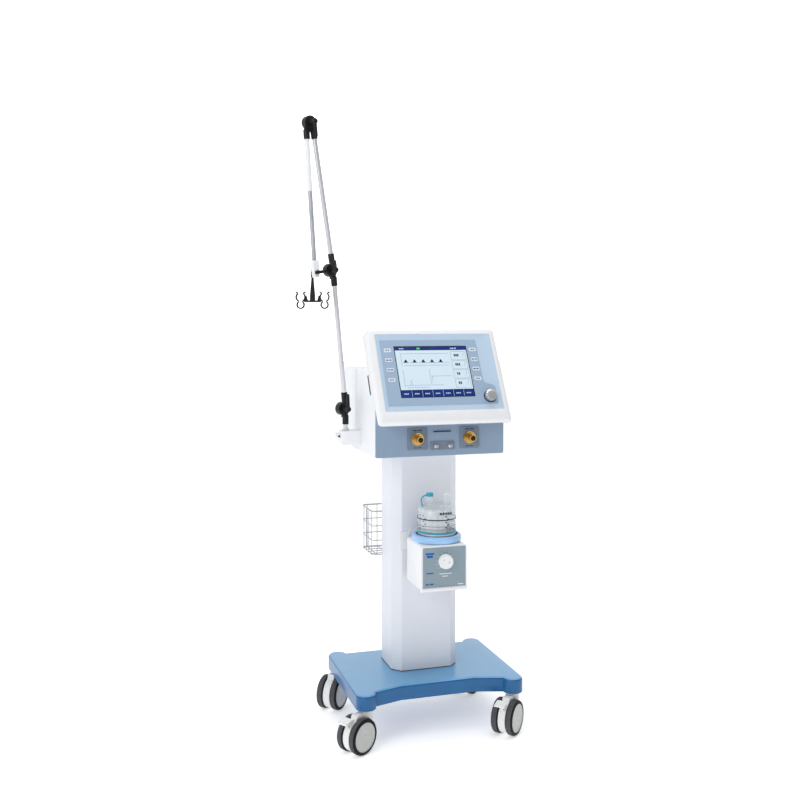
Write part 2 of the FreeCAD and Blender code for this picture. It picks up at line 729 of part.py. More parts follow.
def humidifier_knob():
    y0 = humid[2]
    knob = turned([(0, 0.4), (24, 0.4), (25, 3), (23, 14), (20, 16), (0, 15)],
                  V(dial[0], y0 - 2, dial[1]), V(0, -1, 0))
    dimples = []
    for i in range(8):
        a = math.radians(45 * i)
        dimples.append(Part.makeSphere(4, V(dial[0] + 25.5 * math.cos(a), y0 - 13, dial[1] + 25.5 * math.sin(a))))
    shaft = rod(4, V(dial[0], y0 - 3, dial[1]), V(dial[0], y0 + 12, dial[1]))
    return knob.cut(Part.makeCompound(dimples)).fuse(shaft).removeSplitter()


def heater_plate():
    return Part.makeCylinder(ring_inner - 2, plate_top - humid[5] + 1, chamber + V(0, 0, humid[5] - 1))


def guard_ring():
    z = humid[5] + 1
    return turned([(ring_inner, 0), (ring_outer, 0), (ring_outer, 16), (ring_outer - 6, 22), (ring_inner, 22)],
                  chamber + V(0, 0, z), Z)


def water_chamber():
    """Metal base, clear domed wall and two upright ports, hollow inside."""
    r = chamber_radius
    outer = [(0, 0), (r + 2, 0), (r + 2, 8), (r, 9), (r, 100), (r - 3, 106), (r - 10, 109), (0, 112)]
    inner = [(0, 3), (r - 2, 3), (r - 2, 99), (r - 5, 104), (r - 11, 106), (0, 109)]
    base = chamber + V(0, 0, plate_top + gap)
    solid = turned(outer, base, Z)
    ports = [Part.makeCylinder(port_radius, 41, base + V(x, 0, 106)) for x in chamber_ports]
    collars = [Part.makeCylinder(port_radius + 3, 6.5, base + V(x, 0, 106)) for x in chamber_ports]
    bores = [Part.makeCylinder(9, 60, base + V(x, 0, 100)) for x in chamber_ports]
    return fused([solid] + ports + collars).cut(turned(inner, base, Z)).cut(Part.makeCompound(bores))


# ---- the whole part ------------------------------------------------------------------------

def nodes():
    low, mid, top = pivots()
    out = {
        "base_shell": base_shell(),
        "caster_stems": caster_stems(),
        "column": column(),
        "console_case": console_case(),
        "connection_panel": connection_panel(),
        "gas_ports": Part.makeCompound([gas_port(x, z) for x, z in gas_ports]),
        "pressure_ports": Part.makeCompound([nipple(x, z) for x, z in nipples]),
        "display_housing": display_housing(),
        "keypad_overlay": keypad_overlay(),
        "screen": screen(),
        "encoder_shaft": encoder_shaft(),
        "encoder_knob": encoder_knob(),
        "power_inlet": power_inlet(),
        "mains_switch": mains_switch(),
        "oxygen_inlet": oxygen_inlet(),
        "basket_wires": basket_wires(),
        "arm_clamp": arm_clamp(),
        "arm_post": arm_post(),
        "arm_lower_joints": arm_link_joints(low, lower_lean, lower_length),
        "arm_lower_rod": arm_rod(low, lower_lean, lower_length),
        "arm_upper_joints": arm_link_joints(mid, upper_lean, upper_length),
        "arm_upper_rod": arm_rod(mid, upper_lean, upper_length),
        "arm_drop_joint": arm_drop_joint(),
        "gooseneck_upper": gooseneck_upper(),
        "gooseneck_lower": gooseneck_lower(),
        "neck_sleeve": neck_sleeve(),
        "tube_hook": tube_hook(),
        "parking_clip": parking_clip(),
        "lever_lower": arm_lever(low, 0),
        "lever_middle": arm_lever(mid, 26),
        "lever_top": arm_lever(top, 180 + upper_lean),
        "humidifier_bracket": humidifier_bracket(),
        "humidifier_housing": humidifier_housing(),
        "humidifier_panel": humidifier_panel(),
        "humidifier_knob": humidifier_knob(),
        "heater_plate": heater_plate(),
        "guard_ring": guard_ring(),
        "water_chamber": water_chamber(),
    }
    for side, x in zip(("left", "right"), key_columns):
        for number, s in enumerate(key_rows):
            out["key_%s_%d" % (side, number + 1)] = key(x, s)
    for name in casters:
        out["caster_%s_fork" % name] = caster_fork(name)
        out["caster_%s_wheel_a" % name] = caster_wheel(name, -1)
        out["caster_%s_wheel_b" % name] = caster_wheel(name, 1)
        if name[0] == "f":
            out["caster_%s_pedal" % name] = caster_pedal(name)
    return out


for node, shape in nodes().items():
    shape.translate(frame_shift)
    shape.exportStep("parts/%s.step" % node)
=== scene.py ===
"""Looks of the mechanical ventilator: pieces in millimetres of the trolley, placed in metres."""
import json
from math import cos, radians, sin, sqrt, tau

import bmesh
import bpy
from mathutils import Matrix, Vector


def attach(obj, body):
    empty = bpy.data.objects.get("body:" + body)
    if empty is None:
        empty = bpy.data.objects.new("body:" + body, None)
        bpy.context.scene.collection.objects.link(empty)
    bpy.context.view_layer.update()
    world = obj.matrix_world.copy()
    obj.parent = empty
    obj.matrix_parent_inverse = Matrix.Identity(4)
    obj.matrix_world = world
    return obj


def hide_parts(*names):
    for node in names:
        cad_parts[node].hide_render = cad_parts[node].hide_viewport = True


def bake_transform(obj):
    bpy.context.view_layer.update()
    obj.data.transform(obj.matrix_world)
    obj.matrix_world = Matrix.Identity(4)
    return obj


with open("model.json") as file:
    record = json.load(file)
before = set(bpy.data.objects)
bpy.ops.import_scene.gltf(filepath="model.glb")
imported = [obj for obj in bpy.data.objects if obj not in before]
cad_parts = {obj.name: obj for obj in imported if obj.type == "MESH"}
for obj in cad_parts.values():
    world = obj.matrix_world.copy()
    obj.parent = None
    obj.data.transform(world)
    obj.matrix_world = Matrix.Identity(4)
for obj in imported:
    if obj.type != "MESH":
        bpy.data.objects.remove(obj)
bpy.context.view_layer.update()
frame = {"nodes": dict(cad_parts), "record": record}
nodes = frame["nodes"]
body_of = {n: b for b, names in frame["record"]["behaviour"]["bodies"].items() for n in names}

# ---- where things are ----------------------------------------------------------------------
SHIFT = Vector((78, 14.5, -5.5))      # from the caster rectangle's middle to the frame's origin
FACE_LEAN = 29.4                      # of the display, from vertical
POST = (-267, 15, 0)
ARM_TURN = 20
LOWER_LEAN, UPPER_LEAN, DROP_LEAN = 6, 9.5, 183.9
LOWER_LENGTH, UPPER_LENGTH = 462, 479.5
ROD_OFFSET = 12                       # of a rod from the line between its joints
CASTER_X, CASTER_Y, TRAIL, AXLE_HEIGHT = 253, 189.5, 42, 62.5
WHEEL_GAP = 25                        # between the two wheels of a caster
WALL_X = 219                          # outside of the case's side walls
PANEL_FRONT = -189
GAS_PORTS = ((-80, 988), (98, 988))
DIAL = (5, -217, 594)
CHAMBER_PORTS = (-24, 34)
TROLLEY = Matrix.Scale(0.001, 4) @ Matrix.Translation(SHIFT)
FACE = TROLLEY @ Matrix.Translation((0, -85, 1342)) @ Matrix.Rotation(radians(90 - FACE_LEAN), 4, "X")
ARM = TROLLEY @ Matrix.Translation(POST) @ Matrix.Rotation(radians(ARM_TURN), 4, "Z")
LOW = Vector((-ROD_OFFSET, 0, 1074))
MID = LOW + Vector((-sin(radians(LOWER_LEAN)), 0, cos(radians(LOWER_LEAN)))) * LOWER_LENGTH
TOP = MID + Vector((-sin(radians(UPPER_LEAN)), 0, cos(radians(UPPER_LEAN)))) * UPPER_LENGTH
CASTERS = {"fl": (-1, -1, 33), "fr": (1, -1, 44), "bl": (-1, 1, 50), "br": (1, 1, 45)}
CHAMBER = Vector((5, -132, 652.3))


def link(pivot, lean):
    """Matrix of an arm link: its pivot at the origin, the link along +Z."""
    return ARM @ Matrix.Translation(pivot) @ Matrix.Rotation(radians(-lean), 4, "Y")


def caster(name):
    """Matrix on the floor below a caster's wheels, with +X towards its stem."""
    sx, sy, turn = CASTERS[name]
    place = Matrix.Translation((sx * CASTER_X, sy * CASTER_Y, 0)) @ Matrix.Rotation(radians(turn), 4, "Z")
    return TROLLEY @ place @ Matrix.Translation((-TRAIL, 0, 0))


def at(x, y, z, axis=(0, 0, 1)):
    """Matrix at a point of the trolley with local +Z along an axis."""
    turn = Vector((0, 0, 1)).rotation_difference(Vector(axis))
    return TROLLEY @ Matrix.Translation((x, y, z)) @ turn.to_matrix().to_4x4()


# ---- materials -----------------------------------------------------------------------------
def material(name, colour, rough=0.4, metal=0.0, vary=0.03, scale=40.0, bump=0.02, coat=0.0, alpha=1.0,
             glow=0.0, stretch=(1, 1, 1), rough_vary=0.0, shine=0.5):
    """Principled material whose colour and surface vary with a noise field."""
    m = bpy.data.materials.new(name)
    m.use_nodes = True
    tree = m.node_tree
    shader = tree.nodes["Principled BSDF"]
    where = tree.nodes.new("ShaderNodeTexCoord")
    mapping = tree.nodes.new("ShaderNodeMapping")
    mapping.inputs["Scale"].default_value = stretch
    noise = tree.nodes.new("ShaderNodeTexNoise")
    noise.inputs["Scale"].default_value = scale
    noise.inputs["Detail"].default_value = 4
    ramp = tree.nodes.new("ShaderNodeValToRGB")
    ramp.color_ramp.elements[0].position = 0.3
    ramp.color_ramp.elements[1].position = 0.7
    ramp.color_ramp.elements[0].color = [max(0, c * (1 - vary)) for c in colour] + [1]
    ramp.color_ramp.elements[1].color = [min(1, c * (1 + vary)) for c in colour] + [1]
    lumps = tree.nodes.new("ShaderNodeTexNoise")
    lumps.inputs["Scale"].default_value = scale * 14
    bumps = tree.nodes.new("ShaderNodeBump")
    bumps.inputs["Strength"].default_value = bump
    bumps.inputs["Distance"].default_value = 0.001
    tree.links.new(where.outputs["Object"], mapping.inputs["Vector"])
    tree.links.new(mapping.outputs["Vector"], noise.inputs["Vector"])
    tree.links.new(mapping.outputs["Vector"], lumps.inputs["Vector"])
    tree.links.new(noise.outputs["Fac"], ramp.inputs["Fac"])
    tree.links.new(ramp.outputs["Color"], shader.inputs["Base Color"])
    tree.links.new(lumps.outputs["Fac"], bumps.inputs["Height"])
    tree.links.new(bumps.outputs["Normal"], shader.inputs["Normal"])
    if rough_vary:
        spread = tree.nodes.new("ShaderNodeMapRange")
        spread.inputs["To Min"].default_value = max(0.02, rough - rough_vary)
        spread.inputs["To Max"].default_value = min(1, rough + rough_vary)
        tree.links.new(noise.outputs["Fac"], spread.inputs["Value"])
        tree.links.new(spread.outputs["Result"], shader.inputs["Roughness"])
    else:
        shader.inputs["Roughness"].default_value = rough
    shader.inputs["Metallic"].default_value = metal
    shader.inputs["Specular IOR Level"].default_value = shine
    shader.inputs["Coat Weight"].default_value = coat
    shader.inputs["Coat Roughness"].default_value = 0.08
    shader.inputs["Alpha"].default_value = alpha
    if glow:
        tree.links.new(ramp.outputs["Color"], shader.inputs["Emission Color"])
        shader.inputs["Emission Strength"].default_value = glow
    return m


WHITE = material("white_plastic", (0.78, 0.795, 0.82), 0.36, bump=0.015, coat=0.1, vary=0.01)
WARM_WHITE = material("caster_white", (0.80, 0.81, 0.80), 0.45, bump=0.02, vary=0.015)
PAINT = material("white_paint", (0.70, 0.725, 0.78), 0.42, scale=25, bump=0.04, vary=0.008)
CASE = material("case_paint", (0.775, 0.80, 0.83), 0.42, scale=25, bump=0.04, vary=0.008)
BLUE_SIDE = material("base_blue", (0.002, 0.11, 0.30), 0.3, coat=0.25, bump=0.01, vary=0.05,
                     scale=12, shine=0.35)
# Lighter copy of the base's blue for its top faces: painted light.
BLUE_PAINTED_LIT_TOP = material("base_blue_painted_lit_top", (0.115, 0.34, 0.60), 0.3, coat=0.5, bump=0.01, vary=0.03, scale=12)
PANEL = material("panel_blue_grey", (0.23, 0.32, 0.44), 0.5, bump=0.03, vary=0.015)
PLATE = material("port_plate", (0.15, 0.20, 0.26), 0.5, bump=0.02)
FIELD = material("field_blue", (0.45, 0.58, 0.72), 0.45, bump=0.02, vary=0.01)
OVERLAY = material("overlay_blue", (0.30, 0.415, 0.56), 0.45, bump=0.015, vary=0.01)
KEY = material("key_pale", (0.62, 0.70, 0.79), 0.45, bump=0.02)
# Dark print; also the painted shadow ring round the encoder knob.
DARK_PRINT_AND_SHADOW = material("print_and_shadow_dark", (0.02, 0.025, 0.045), 0.5, vary=0.1, shine=0.3)
INK_BLUE = material("print_blue", (0.01, 0.10, 0.36), 0.5, vary=0.1, shine=0.3)
INK_WHITE = material("print_white", (0.78, 0.80, 0.82), 0.5, vary=0.05)
BLACK = material("black_plastic", (0.006, 0.006, 0.008), 0.38, bump=0.06, scale=80,
                 rough_vary=0.06, shine=0.3)
RUBBER = material("tyre_rubber", (0.006, 0.006, 0.008), 0.6, bump=0.12, scale=90, vary=0.15, shine=0.2)
TREAD = material("tyre_tread", (0.075, 0.075, 0.085), 0.7, bump=0.15, scale=90, vary=0.12, shine=0.3)
HUB = material("hub_grey", (0.50, 0.515, 0.50), 0.4, bump=0.03, vary=0.015)
BRASS = material("brass", (0.62, 0.40, 0.13), 0.26, metal=1.0, vary=0.08, scale=30, bump=0.03,
                 rough_vary=0.08)
CHROME = material("chrome", (0.62, 0.63, 0.66), 0.14, metal=1.0, vary=0.02, bump=0.01)
TUBE = material("satin_aluminium", (0.66, 0.675, 0.70), 0.28, metal=0.85, vary=0.02,
                stretch=(1, 1, 0.05), scale=120, bump=0.02)
TUBE_WHITE = material("white_tube", (0.72, 0.735, 0.76), 0.35, bump=0.01, vary=0.01)
NECK = material("neck_metal", (0.46, 0.48, 0.50), 0.34, metal=0.6, vary=0.08, bump=0.05)
WIRE = material("coated_wire", (0.42, 0.44, 0.46), 0.38, metal=0.4, vary=0.06, bump=0.04)
# Its colour varies widely in broad patches, a painted reflection standing in for the translucent ring's
# highlights.
RING = material("guard_blue", (0.30, 0.52, 0.82), 0.25, coat=0.3, vary=0.14, scale=7)
TEAL = material("seal_teal", (0.0, 0.33, 0.45), 0.35, vary=0.06)
STEEL = material("brushed_steel", (0.50, 0.51, 0.53), 0.28, metal=1.0, vary=0.06,
                 stretch=(1, 1, 0.1), bump=0.04)
GREY_PANEL = material("humidifier_panel_grey", (0.235, 0.315, 0.365), 0.5, bump=0.02, vary=0.015)
CLEAR = material("clear_plastic", (0.80, 0.86, 0.90), 0.05, alpha=0.20, coat=0.8, vary=0.01, bump=0.004)
KNOB = material("knob_silver", (0.58, 0.59, 0.61), 0.2, metal=0.8, coat=0.3, bump=0.02, vary=0.02)
SHADOW_GAP = material("shadow_gap", (0.025, 0.027, 0.033), 0.7, vary=0.1, shine=0.2)
FLOAT = material("float_silver", (0.66, 0.69, 0.72), 0.3, metal=0.35, vary=0.16, scale=70,
                 stretch=(1, 1, 0.02), bump=0.01)
LCD_EDGE = material("lcd_edge", (0.010, 0.010, 0.013), 0.3, vary=0.1, shine=0.3)
LCD_BACK = material("lcd_pale", (0.52, 0.63, 0.71), 0.3, glow=0.22, vary=0.015, scale=6, shine=0.3)
LCD_BLUE = material("lcd_dark_blue", (0.006, 0.022, 0.15), 0.3, glow=0.25, vary=0.25, scale=18, shine=0.2)
LCD_LINE = material("lcd_line", (0.20, 0.28, 0.34), 0.4, glow=0.05, shine=0.2)
LCD_NAVY = material("lcd_navy", (0.004, 0.010, 0.075), 0.4, vary=0.1, shine=0.2)
LCD_GREEN = material("lcd_green", (0.03, 0.50, 0.14), 0.3, glow=0.4)
LCD_TEXT = material("lcd_text", (0.40, 0.55, 0.72), 0.3, glow=0.15)


# ---- making pieces -------------------------------------------------------------------------
def finish_piece(obj, body, stands_for=()):
    """Hides the CAD nodes the piece stands for and puts it on the body it rides."""
    if stands_for:
        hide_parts(*stands_for)
    if body:
        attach(obj, body)
    return obj


def smooth(mesh, angle=32):
    """Shades the mesh smooth but for edges sharper than the angle."""
    mesh.polygons.foreach_set("use_smooth", [True] * len(mesh.polygons))
    mesh.set_sharp_from_angle(angle=radians(angle))


def add_materials(mesh, materials):
    for m in materials if isinstance(materials, (list, tuple)) else [materials]:
        mesh.materials.append(m)


def build(name, verts, faces, numbers, materials, weld=False, angle=32):
    """Mesh object with one material number per face, its normals outwards."""
    mesh = bpy.data.meshes.new(name)
    mesh.from_pydata(verts, [], faces)
    mesh.polygons.foreach_set("material_index", numbers)
    obj = bpy.data.objects.new(name, mesh)
    bpy.context.scene.collection.objects.link(obj)
    add_materials(mesh, materials)
    b = bmesh.new()
    b.from_mesh(mesh)
    if weld:
        bmesh.ops.remove_doubles(b, verts=b.verts, dist=1e-6)
    bmesh.ops.recalc_face_normals(b, faces=b.faces)
    b.to_mesh(mesh)
    b.free()
    smooth(mesh, angle)
    return obj


def piece(name, shapes, body, materials, matrix=TROLLEY, stands_for=(), weld=False):
    """Joins (vertices, faces, material number) shapes in millimetres into one object."""
    verts, faces, numbers = [], [], []
    for points, polygons, number in shapes:
        start = len(verts)
        verts += [matrix @ Vector(p) for p in points]
        faces += [[start + i for i in polygon] for polygon in polygons]
        numbers += [number] * len(polygons)
    obj = build(name, verts, faces, numbers, materials, weld)
    return finish_piece(obj, body, stands_for)


def soften(obj, width, steps=3, angle=35):
    """Rounds the edges sharper than the angle, by a width in millimetres."""
    edges = obj.modifiers.new("edges", "BEVEL")
    edges.width = width / 1000
    edges.segments = steps
    edges.limit_method = "ANGLE"
    edges.angle_limit = radians(angle)
    edges.harden_normals = True
    edges.use_clamp_overlap = True


def softened(node, width, materials, steps=3, angle=35, name=None):
    """A copy of a CAD node with its sharp edges rounded."""
    mesh = nodes[node].data.copy()
    if "custom_normal" in mesh.attributes:
        mesh.attributes.remove(mesh.attributes["custom_normal"])
    obj = bpy.data.objects.new(name or "looks_" + node, mesh)
    bpy.context.scene.collection.objects.link(obj)
    b = bmesh.new()
    b.from_mesh(mesh)
    bmesh.ops.remove_doubles(b, verts=b.verts, dist=1.5e-5)
    bmesh.ops.dissolve_limit(b, angle_limit=radians(1), verts=b.verts, edges=b.edges)
    b.to_mesh(mesh)
    b.free()
    mesh.materials.clear()
    add_materials(mesh, materials)
    mesh.polygons.foreach_set("material_index", [0] * len(mesh.polygons))
    smooth(mesh)
    if width:
        soften(obj, width, steps, angle)
    return finish_piece(obj, body_of[node], (node,))


def lathe(profile, sides=48, number=0, matrix=None):
    """(vertices, faces, number) of a profile of (radius, height) turned about Z."""
    verts, rings = [], []
    for r, h in profile:
        if r < 1e-6:
            rings.append([len(verts)] * sides)
            verts.append(Vector((0, 0, h)))
        else:
            rings.append(list(range(len(verts), len(verts) + sides)))
            turns = [tau * i / sides for i in range(sides)]
            verts += [Vector((r * cos(a), r * sin(a), h)) for a in turns]
    faces = []
    for a, b in zip(rings, rings[1:]):
        for i in range(sides):
            j = (i + 1) % sides
            quad = [a[i], a[j], b[j], b[i]]
            corners = [v for k, v in enumerate(quad) if v not in quad[:k]]
            if len(corners) > 2:
                faces.append(corners)
    if matrix is not None:
        verts = [matrix @ v for v in verts]
    return verts, faces, number


def hose(path, radius, sides=16, number=0):
    """Round tube through the points of a path, closed at both ends."""
    points = [Vector(p) for p in path]
    verts, faces = [], []
    side = None
    for i, p in enumerate(points):
        along = (points[min(i + 1, len(points) - 1)] - points[max(i - 1, 0)]).normalized()
        if side is None:
            side = along.orthogonal().normalized()
        side = (side - along * side.dot(along)).normalized()
        other = along.cross(side)
        for k in range(sides):
            a = tau * k / sides
            verts.append(p + (side * cos(a) + other * sin(a)) * radius)
    for i in range(len(points) - 1):
        for k in range(sides):
            j = (k + 1) % sides
            faces.append([i * sides + k, i * sides + j, (i + 1) * sides + j, (i + 1) * sides + k])
    faces.append(list(range(sides)))
    faces.append([(len(points) - 1) * sides + k for k in range(sides)])
    return verts, faces, number


BLOCK_FACES = [[0, 3, 2, 1], [4, 5, 6, 7], [0, 1, 5, 4], [1, 2, 6, 5], [2, 3, 7, 6], [3, 0, 4, 7]]


def sheet(x0, x1, y0, y1, z0, z1, number=0):
    """Thin block."""
    verts = [Vector((x, y, z)) for z in (z0, z1) for x, y in ((x0, y0), (x1, y0), (x1, y1), (x0, y1))]
    return verts, BLOCK_FACES, number


def rounded_loop(x0, x1, y0, y1, radius, z=0.0, steps=6):
    """Points round a rectangle with rounded corners, counter-clockwise."""
    loop = []
    for cx, cy, start in ((x1 - radius, y1 - radius, 0), (x0 + radius, y1 - radius, 90),
                          (x0 + radius, y0 + radius, 180), (x1 - radius, y0 + radius, 270)):
        for i in range(steps + 1):
            a = radians(start + 90 * i / steps)
            loop.append(Vector((cx + radius * cos(a), cy + radius * sin(a), z)))
    return loop


def skinned(name, loops, numbers, body, materials, matrix, stands_for, angle):
    """Skin over loops with the same number of points, one material number per band, closed at the last."""
    n = len(loops[0])
    verts = [matrix @ p for loop in loops for p in loop]
    faces, face_numbers = [], []
    for k, number in enumerate(numbers):
        for i in range(n):
            j = (i + 1) % n
            faces.append([k * n + i, k * n + j, (k + 1) * n + j, (k + 1) * n + i])
            face_numbers.append(number)
    faces.append([(len(loops) - 1) * n + i for i in range(n)])
    face_numbers.append(numbers[-1])
    obj = build(name, verts, faces, face_numbers, materials, angle=angle)
    return finish_piece(obj, body, stands_for)


def paint(obj, test, number):
    """Gives the faces that pass a test (centre in trolley millimetres, normal) another material."""
    back = TROLLEY.inverted()
    for polygon in obj.data.polygons:
        if test(back @ polygon.center, polygon.normal):
            polygon.material_index = number


# ---- trolley -------------------------------------------------------------------------------
# Painted light: the base's upward faces get a lighter blue than its sides, a lit copy of the same blue paint.
base = softened("base_shell", 0, [BLUE_SIDE, BLUE_PAINTED_LIT_TOP])
paint(base, lambda c, n: n.z > 0.6 and c.z > 170, 1)
softened("caster_stems", 1, CHROME)

for name in CASTERS:
    place = caster(name)
    softened("caster_%s_fork" % name, 1.2, WARM_WHITE)
    if name[0] == "f":
        softened("caster_%s_pedal" % name, 1.2, WARM_WHITE)
    for letter, side in (("a", -1), ("b", 1)):
        body = "caster_%s_wheel_%s_body" % (name, letter)
        lying = Matrix.Rotation(radians(-90 * side), 4, "X")
        turn = Matrix.Translation((0, side * WHEEL_GAP / 2, AXLE_HEIGHT)) @ lying
        tread = [(56.1, 4), (56.8, 7.6), (56.3, 8.0), (56.3, 8.6), (57, 9), (57, 15.4), (56.3, 15.8),
                 (56.3, 16.4), (56.8, 16.8), (56.1, 21)]
        inner = [(45.8, 22), (45.8, 1), (50.5, 0.4), (54, 1.6), (56.1, 4)]
        outer = [(56.1, 21), (54, 23.4), (50.5, 24.6), (46.6, 24.8), (46, 24.2), (45.8, 22)]
        piece("tyre_%s_%s" % (name, letter), [lathe(inner, 64), lathe(tread, 64, 1), lathe(outer, 64)], body,
              [RUBBER, TREAD], place @ turn, ("caster_%s_wheel_%s" % (name, letter),), weld=True)
        cap = [(6.1, 0.4), (14, 0.4), (14, 4), (40, 4), (45.7, 1.4), (45.7, 23.2), (44.6, 24.4), (42.6, 24),
               (41, 22.6), (38.5, 22.8), (26, 23.8), (12, 24.3), (10.5, 23.7), (9, 24.3), (0, 24.6)]
        piece("hub_%s_%s" % (name, letter), [lathe(cap, 56)], body, HUB, place @ turn, ())

column = softened("column", 2.0, [PAINT, SHADOW_GAP])
paint(column, lambda c, n: c.z < 186.5, 1)      # painted shadow line where it stands on the base
basket = nodes["basket_wires"].data
basket.materials.clear()
basket.materials.append(WIRE)

# ---- console -------------------------------------------------------------------------------
# The dark line down each side of the case is the groove at the joint between its front and rear halves,
# darkened with painted shade.
case = softened("console_case", 2.2, [CASE, SHADOW_GAP])
paint(case, lambda c, n: WALL_X - 1.6 < abs(c.x) < WALL_X - 0.05 and 57.5 < c.y < 60.5, 1)
# Painted shade: a dark sheet over the card slot in the case's left side stands in for the slot's shaded
# opening.
card_slot = TROLLEY @ Matrix.Translation((0, -113, 1160)) @ Matrix.Rotation(radians(-FACE_LEAN), 4, "X")
piece("slot_shade", [sheet(-WALL_X - 0.3, -WALL_X + 3.6, -3.5, 8.5, -35, 35)], "trolley", SHADOW_GAP, card_slot)
# The surrounds of the ports stand proud of the panel and are darker.
panel = softened("connection_panel", 0.8, [PANEL, PLATE])
paint(panel, lambda c, n: c.y < PANEL_FRONT + 0.2, 1)
marks = []
for x, z in GAS_PORTS:
    for a, b in ((-16, -2), (2, 16)):
        marks.append(sheet(x + a, x + b, -0.25, 0, z + 26, z + 29))
        marks.append(sheet(x + a * 0.8, x + b * 0.8, -0.25, 0, z - 29.5, z - 27.2))
marks.append(sheet(-26, 34, -0.25, 0, 1008, 1012))
piece("panel_print", marks, "trolley", DARK_PRINT_AND_SHADOW, TROLLEY @ Matrix.Translation((0, PANEL_FRONT, 0)))
softened("gas_ports", 0.8, BRASS)
softened("pressure_ports", 0.4, CHROME)


HALF_WIDTH, HEIGHT = 225, 340         # of the display's front, whose top edge is at y = 0
REAR_FOOT, REAR_TOP = -342, 6         # of the display's rear edge


def display_loop(inset, depth, radius):
    """Edge of the display's front, drawn in by an inset."""
    return rounded_loop(-HALF_WIDTH + inset, HALF_WIDTH - inset, -HEIGHT + inset, 0 - inset, radius, depth)


field_inner = rounded_loop(-180, 144, -274, -49, 2, -1)
field_floor = rounded_loop(-196.5, 203.5, -297.5, -22.5, 2.4, -1)
field_foot = rounded_loop(-197.5, 204.5, -298.5, -21.5, 3, -0.6)
field_lip = rounded_loop(-199.5, 206.5, -300.5, -19.5, 4, 0.0)


def back_loop(inset, lift):
    """Rear edge of the housing: deep at the top, shallow at the lip."""
    loop = rounded_loop(-HALF_WIDTH + inset, HALF_WIDTH - inset, REAR_FOOT + inset, REAR_TOP - inset, 12, 0)
    return [Vector((p.x, p.y, -16.5 - 40 * (p.y - REAR_FOOT) / (REAR_TOP - REAR_FOOT) + lift)) for p in loop]


shell = [field_inner, field_floor, field_foot, field_lip, display_loop(16, -0.2, 14),
         display_loop(9, -1.4, 13), display_loop(4, -4.6, 12), display_loop(1, -9.5, 12),
         display_loop(0, -14.5, 12)]
shell += [back_loop(0.5, 2), back_loop(4, -2), back_loop(12, -4)]
skinned("display_shell", shell, [1, 1] + [0] * (len(shell) - 3), "trolley", [WHITE, FIELD], FACE,
        ("display_housing",), 50)

softened("keypad_overlay", 0, OVERLAY)
softened("screen", 0.4, LCD_EDGE)


def lcd(x0, x1, s0, s1, number, h=0.0):
    """Thin block of the display's picture, from s0 down to s1 and h above its ground."""
    return sheet(x0, x1, -s1, -s0, -0.45 + h, -0.3 + h, number)


def stroke(a, b, width, number, h=0.12):
    """Thin line between two points of the display, given as (x, s)."""
    p = Vector((a[0], -a[1], 0))
    q = Vector((b[0], -b[1], 0))
    side = Vector((-(q - p).y, (q - p).x, 0)).normalized() * width / 2
    low = Vector((0, 0, -0.3))
    high = Vector((0, 0, -0.3 + h))
    verts = [p - side + low, q - side + low, q + side + low, p + side + low,
             p - side + high, q - side + high, q + side + high, p + side + high]
    return verts, BLOCK_FACES, number


PALE, BAR, GREEN, TEXT, LINE, CURVE, DIGIT = range(7)
LCD_LEFT, LCD_RIGHT, LCD_TOP, BAR_FOOT = -137, 109, 69, 82
SOFT_KEYS, SOFT_KEY_PITCH, SOFT_KEY_TOP, SOFT_KEY_FOOT = 7, 35.2, 225, 249.5
picture = [lcd(LCD_LEFT, LCD_RIGHT, LCD_TOP, BAR_FOOT, BAR), lcd(LCD_LEFT, LCD_RIGHT, BAR_FOOT, 224, PALE)]
for i in range(SOFT_KEYS):
    left = LCD_LEFT + SOFT_KEY_PITCH * i
    picture.append(lcd(left + (0.8 if i else 0), left + 34.4, SOFT_KEY_TOP, SOFT_KEY_FOOT, BAR))
    for a, b in ((9, 13), (14.5, 19), (20.5, 24)):
        picture.append(lcd(left + a, left + b, 236, 240, TEXT, 0.15))
    if i:
        picture.append(lcd(left - 0.2, left + 0.8, 226, 249, TEXT, 0.1))
# The title bar's green mark and words.
picture.append(lcd(-62, -51, 72.5, 78, GREEN, 0.15))
for a, b in ((-122, -118.5), (-117, -113), (-111.5, -107), (54, 57), (58.5, 66), (68, 75)):
    picture.append(lcd(a, b, 73.5, 77.5, TEXT, 0.15))
for i in range(5):                      # five humps of the upper curve
    x = -106 + 30 * i
    outline = [(x - 7, -126), (x + 7, -126), (x + 1.5, -115.5), (x - 1.0, -115.5)]
    solid = [Vector((px, py, h)) for h in (-0.3, -0.1) for px, py in outline]
    picture.append((solid, BLOCK_FACES, CURVE))
# Curves' axes, traces and dividers, each as its two ends (x, s).
lines = [((-118, 94), (44, 94)), ((-118, 127), (46, 127)), ((-112, 137), (40, 137)),
         ((-120, 90), (-120, 140)), ((-120, 152), (-120, 214)), ((-118, 208), (-28, 208)),
         ((-102, 208), (-98, 190)), ((-98, 190), (-94, 208)), ((-112, 216), (-40, 216)),
         ((-30, 150), (-30, 204)), ((-24, 176), (40, 176)), ((-24, 176), (-24, 196)),
         ((-26, 208), (10, 208))]
for a, b in lines:
    picture.append(stroke(a, b, 1.0, LINE))
NUMBER_FIELDS, FIELD_PITCH = 4, 33.5
for i in range(NUMBER_FIELDS):
    top = 88 + FIELD_PITCH * i
    for a, b in (((52, top), (104, top)), ((52, top + 30), (104, top + 30)), ((52, top), (52, top + 30)),
                 ((104, top), (104, top + 30))):
        picture.append(stroke(a, b, 0.9, LINE))
    for left in (63, 69, 75) if i < 2 else (63, 69):
        picture.append(lcd(left, left + 4.5, top + 9, top + 18, DIGIT, 0.15))
    picture.append(stroke((92, top + 20), (99, top + 4), 0.9, LINE, 0.15))
